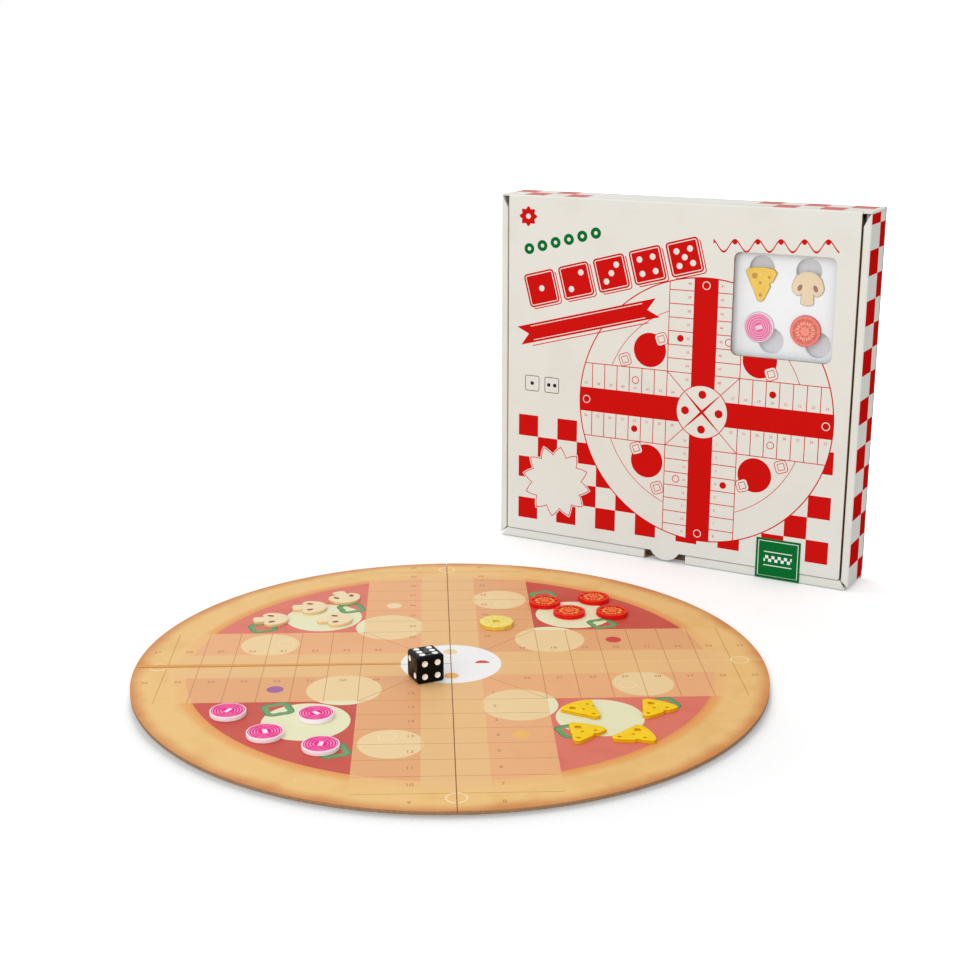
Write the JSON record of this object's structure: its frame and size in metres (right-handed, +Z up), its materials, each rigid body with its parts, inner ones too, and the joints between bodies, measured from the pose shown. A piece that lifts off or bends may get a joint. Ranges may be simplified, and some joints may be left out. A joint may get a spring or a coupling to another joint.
{
  "type": "ludo board game set",
  "caption": "Round quad-fold ludo board with loose playing pieces and a die, beside a windowed tuck-top carton standing on its front edge.",
  "frame": {"origin": "middle of the set's footprint, on the table top", "axes": "+Z up; +X along the board's left-to-right fold line, +Y from the board's front to its rear"},
  "size_m": [0.5088, 0.5126, 0.273],
  "materials": {
    "carton": "satin",
    "film": "gloss",
    "label": "satin",
    "tray": "satin",
    "greyboard": "matte",
    "face_paper": "satin",
    "lining_paper": "matte",
    "mushroom": "satin",
    "tomato": "satin",
    "onion": "satin",
    "cheese": "satin",
    "pineapple": "satin",
    "die": "gloss"
  },
  "bodies": {
    "carton": {"box_base": "carton", "box_back_wall": "carton", "box_front_wall": "carton", "box_left_wall": "carton", "box_right_wall": "carton", "corner_flap_left": "carton", "corner_flap_right": "carton", "tray": "tray", "tray_cheese": "cheese", "tray_mushroom": "mushroom", "tray_onion": "onion", "tray_tomato": "tomato"},
    "lid": {"lid_panel": "carton", "lid_tuck_flap": "carton", "lid_dust_flap_left": "carton", "lid_dust_flap_right": "carton", "window_film": "film", "seal_label": "label"},
    "panel_rear_left": {"board_back_rear_left": "lining_paper", "board_core_rear_left": "greyboard", "board_face_rear_left": "face_paper"},
    "panel_rear_right": {"board_back_rear_right": "lining_paper", "board_core_rear_right": "greyboard", "board_face_rear_right": "face_paper"},
    "panel_front_left": {"board_back_front_left": "lining_paper", "board_core_front_left": "greyboard", "board_face_front_left": "face_paper"},
    "panel_front_right": {"board_back_front_right": "lining_paper", "board_core_front_right": "greyboard", "board_face_front_right": "face_paper"},
    "mushroom_1": {"mushroom_1": "mushroom"},
    "mushroom_2": {"mushroom_2": "mushroom"},
    "mushroom_3": {"mushroom_3": "mushroom"},
    "mushroom_4": {"mushroom_4": "mushroom"},
    "tomato_1": {"tomato_1": "tomato"},
    "tomato_2": {"tomato_2": "tomato"},
    "tomato_3": {"tomato_3": "tomato"},
    "tomato_4": {"tomato_4": "tomato"},
    "onion_1": {"onion_1": "onion"},
    "onion_2": {"onion_2": "onion"},
    "onion_3": {"onion_3": "onion"},
    "onion_4": {"onion_4": "onion"},
    "cheese_1": {"cheese_1": "cheese"},
    "cheese_2": {"cheese_2": "cheese"},
    "cheese_3": {"cheese_3": "cheese"},
    "cheese_4": {"cheese_4": "cheese"},
    "pineapple": {"pineapple": "pineapple"},
    "die": {"die": "die"}
  },
  "joints": [
    {"name": "lid_open", "type": "hinge", "parent": "carton", "child": "lid", "pos_m": [0.1137, 0.15243, 0.273], "axis": [-0.8572, 0.515, 0], "range_deg": [0, 180]},
    {"name": "board_tilt", "type": "hinge", "parent": "carton", "child": "panel_rear_left", "pos_m": [-0.2544, -0.05626, 0], "axis": [0, -1, 0], "range_deg": [0, 90]},
    {"name": "rear_fold", "type": "hinge", "parent": "panel_rear_left", "child": "panel_rear_right", "pos_m": [-0.0544, 0.04374, 0], "axis": [0, 1, 0], "range_deg": [0, 180]},
    {"name": "front_lift", "type": "hinge", "parent": "panel_rear_right", "child": "panel_front_right", "pos_m": [0.0456, -0.05626, 0.0025], "axis": [-1, 0, 0], "range_deg": [0, 90]},
    {"name": "front_fold", "type": "hinge", "parent": "panel_front_right", "child": "panel_front_left", "pos_m": [-0.0544, -0.15626, 0], "axis": [0, -1, 0], "range_deg": [0, 180]},
    {"name": "mushroom_1_lift", "type": "slide", "parent": "panel_rear_left", "child": "mushroom_1", "axis": [0, 0, 1], "range_m": [0, 0.025]},
    {"name": "mushroom_2_lift", "type": "slide", "parent": "panel_rear_left", "child": "mushroom_2", "axis": [0, 0, 1], "range_m": [0, 0.025]},
    {"name": "mushroom_3_lift", "type": "slide", "parent": "panel_rear_left", "child": "mushroom_3", "axis": [0, 0, 1], "range_m": [0, 0.025]},
    {"name": "mushroom_4_lift", "type": "slide", "parent": "panel_rear_left", "child": "mushroom_4", "axis": [0, 0, 1], "range_m": [0, 0.025]},
    {"name": "tomato_1_lift", "type": "slide", "parent": "panel_rear_right", "child": "tomato_1", "axis": [0, 0, 1], "range_m": [0, 0.025]},
    {"name": "tomato_2_lift", "type": "slide", "parent": "panel_rear_right", "child": "tomato_2", "axis": [0, 0, 1], "range_m": [0, 0.025]},
    {"name": "tomato_3_lift", "type": "slide", "parent": "panel_rear_right", "child": "tomato_3", "axis": [0, 0, 1], "range_m": [0, 0.025]},
    {"name": "tomato_4_lift", "type": "slide", "parent": "panel_rear_right", "child": "tomato_4", "axis": [0, 0, 1], "range_m": [0, 0.025]},
    {"name": "onion_1_lift", "type": "slide", "parent": "panel_front_left", "child": "onion_1", "axis": [0, 0, 1], "range_m": [0, 0.025]},
    {"name": "onion_2_lift", "type": "slide", "parent": "panel_front_left", "child": "onion_2", "axis": [0, 0, 1], "range_m": [0, 0.025]},
    {"name": "onion_3_lift", "type": "slide", "parent": "panel_front_left", "child": "onion_3", "axis": [0, 0, 1], "range_m": [0, 0.025]},
    {"name": "onion_4_lift", "type": "slide", "parent": "panel_front_left", "child": "onion_4", "axis": [0, 0, 1], "range_m": [0, 0.025]},
    {"name": "cheese_1_lift", "type": "slide", "parent": "panel_front_right", "child": "cheese_1", "axis": [0, 0, 1], "range_m": [0, 0.025]},
    {"name": "cheese_2_lift", "type": "slide", "parent": "panel_front_right", "child": "cheese_2", "axis": [0, 0, 1], "range_m": [0, 0.025]},
    {"name": "cheese_3_lift", "type": "slide", "parent": "panel_front_right", "child": "cheese_3", "axis": [0, 0, 1], "range_m": [0, 0.025]},
    {"name": "cheese_4_lift", "type": "slide", "parent": "panel_front_right", "child": "cheese_4", "axis": [0, 0, 1], "range_m": [0, 0.025]},
    {"name": "pineapple_lift", "type": "slide", "parent": "panel_rear_right", "child": "pineapple", "axis": [0, 0, 1], "range_m": [0, 0.025]},
    {"name": "die_lift", "type": "slide", "parent": "panel_front_left", "child": "die", "axis": [0, 0, 1], "range_m": [0, 0.025]}
  ],
  "couplings": [
    {"joint": "rear_fold", "follows": "board_tilt", "ratio": 2},
    {"joint": "front_fold", "follows": "board_tilt", "ratio": 2}
  ]
}
